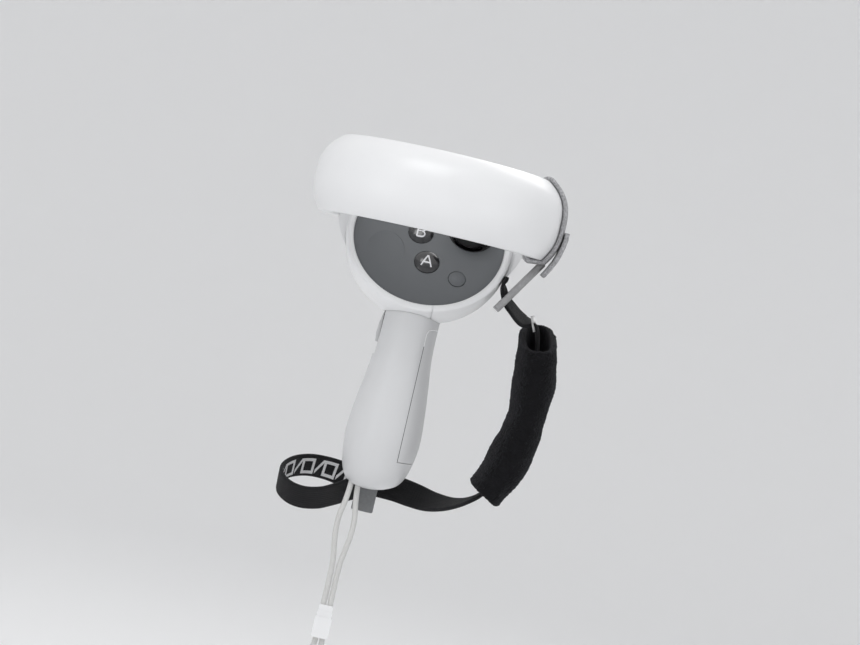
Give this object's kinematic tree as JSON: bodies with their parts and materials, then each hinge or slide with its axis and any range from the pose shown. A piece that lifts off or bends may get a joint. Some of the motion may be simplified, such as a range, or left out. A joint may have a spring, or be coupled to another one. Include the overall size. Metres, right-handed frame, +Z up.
{
  "type": "vr motion controller",
  "caption": "Right-hand motion controller with a tracking ring, tilted button face, thumbstick, two triggers, padded knuckle strap and wrist lanyard.",
  "frame": {"origin": "middle of the hand grip on its long axis, where the palm closes round it", "axes": "+Z up the grip towards the ring, +Y away from the user, +X to the user's right"},
  "size_m": [0.1062, 0.0946, 0.2738],
  "materials": {
    "white_shell": "satin white moulded plastic",
    "light_grey_shell": "light grey moulded plastic",
    "dark_plate": "fine matt dark grey",
    "black_plastic": "black moulded plastic",
    "button_gloss": "clear coated black",
    "black_rubber": "soft black rubber",
    "grey_rubber": "matt grey rubber",
    "steel": "plain steel",
    "circuit_board": "green solder mask",
    "brass": "gold plated",
    "black_webbing": "woven nylon webbing",
    "black_plush": "brushed loop fabric over foam",
    "grey_felt": "hook-and-loop felt",
    "white_cord": "braided cord",
    "cell_wrap": "plain printed sleeve"
  },
  "bodies": {
    "body": {"ring_outer_shell": "white_shell", "ring_inner_shell": "light_grey_shell", "led_flex": "circuit_board", "tracking_leds": "brass", "ring_saddle": "white_shell", "head_shell": "white_shell", "face_plate": "dark_plate", "plate_gasket": "black_rubber", "main_board": "circuit_board", "board_screws": "steel", "dome_sheet": "grey_rubber", "haptic_motor": "steel", "stick_housing": "black_plastic", "stick_well": "black_plastic", "index_trigger_pin": "steel", "index_trigger_spring": "steel", "grip_trigger_pin": "steel", "grip_trigger_spring": "steel", "trigger_pocket": "black_plastic", "grip_shell": "light_grey_shell", "cover_latch": "black_plastic", "battery_tray": "black_plastic", "battery_cell": "cell_wrap", "contact_spring": "steel", "contact_plate": "brass", "lanyard_pin": "steel", "lanyard_cord": "white_cord", "wrap_band": "grey_felt", "rubber_link": "grey_rubber", "strap_webbing": "black_webbing", "strap_label": "white_cord", "strap_pad": "black_plush", "loop_webbing": "black_webbing", "rubber_tab": "grey_rubber"},
    "button_a_body": {"button_a": "button_gloss"},
    "button_b_body": {"button_b": "button_gloss"},
    "menu_body": {"menu_button": "dark_plate"},
    "gimbal": {"gimbal_ring": "steel"},
    "thumbstick": {"stick_stem": "black_plastic", "stick_boot": "black_rubber", "stick_cap": "dark_plate"},
    "index_body": {"index_trigger": "white_shell"},
    "squeeze_body": {"grip_trigger": "light_grey_shell"},
    "cover_body": {"battery_cover": "white_shell"},
    "slider_body": {"lanyard_slider": "white_shell"}
  },
  "joints": [
    {"name": "press_a", "type": "slide", "parent": "body", "child": "button_a_body", "axis": [0, 0.866, -0.5], "range_m": [0, 0.0009], "stiffness_N_per_m": 1500},
    {"name": "press_b", "type": "slide", "parent": "body", "child": "button_b_body", "axis": [0, 0.866, -0.5], "range_m": [0, 0.0009], "stiffness_N_per_m": 1500},
    {"name": "press_menu", "type": "slide", "parent": "body", "child": "menu_body", "axis": [0, 0.866, -0.5], "range_m": [0, 0.0009], "stiffness_N_per_m": 1500},
    {"name": "stick_updown", "type": "hinge", "parent": "body", "child": "gimbal", "pos_m": [0.0152, 0.01206, 0.06343], "axis": [1, 0, 0], "range_deg": [-17, 17], "stiffness_Nm_per_rad": 0.05},
    {"name": "stick_leftright", "type": "hinge", "parent": "gimbal", "child": "thumbstick", "pos_m": [0.0152, 0.01206, 0.06343], "axis": [0, 0.5, 0.866], "range_deg": [-17, 17], "stiffness_Nm_per_rad": 0.05},
    {"name": "index_pull", "type": "hinge", "parent": "body", "child": "index_body", "pos_m": [0, 0.0318, 0.0545], "axis": [-1, 0, 0], "range_deg": [0, 14], "stiffness_Nm_per_rad": 0.3},
    {"name": "grip_squeeze", "type": "hinge", "parent": "body", "child": "squeeze_body", "pos_m": [-0.0083, 0.006, 0.0264], "axis": [0, -1, 0], "range_deg": [0, 7], "stiffness_Nm_per_rad": 0.3},
    {"name": "cover_off", "type": "slide", "parent": "body", "child": "cover_body", "axis": [1, 0, 0], "range_m": [0, 0.012]},
    {"name": "slider_up", "type": "slide", "parent": "body", "child": "slider_body", "axis": [0, 0, 1], "range_m": [0, 0.006]}
  ]
}
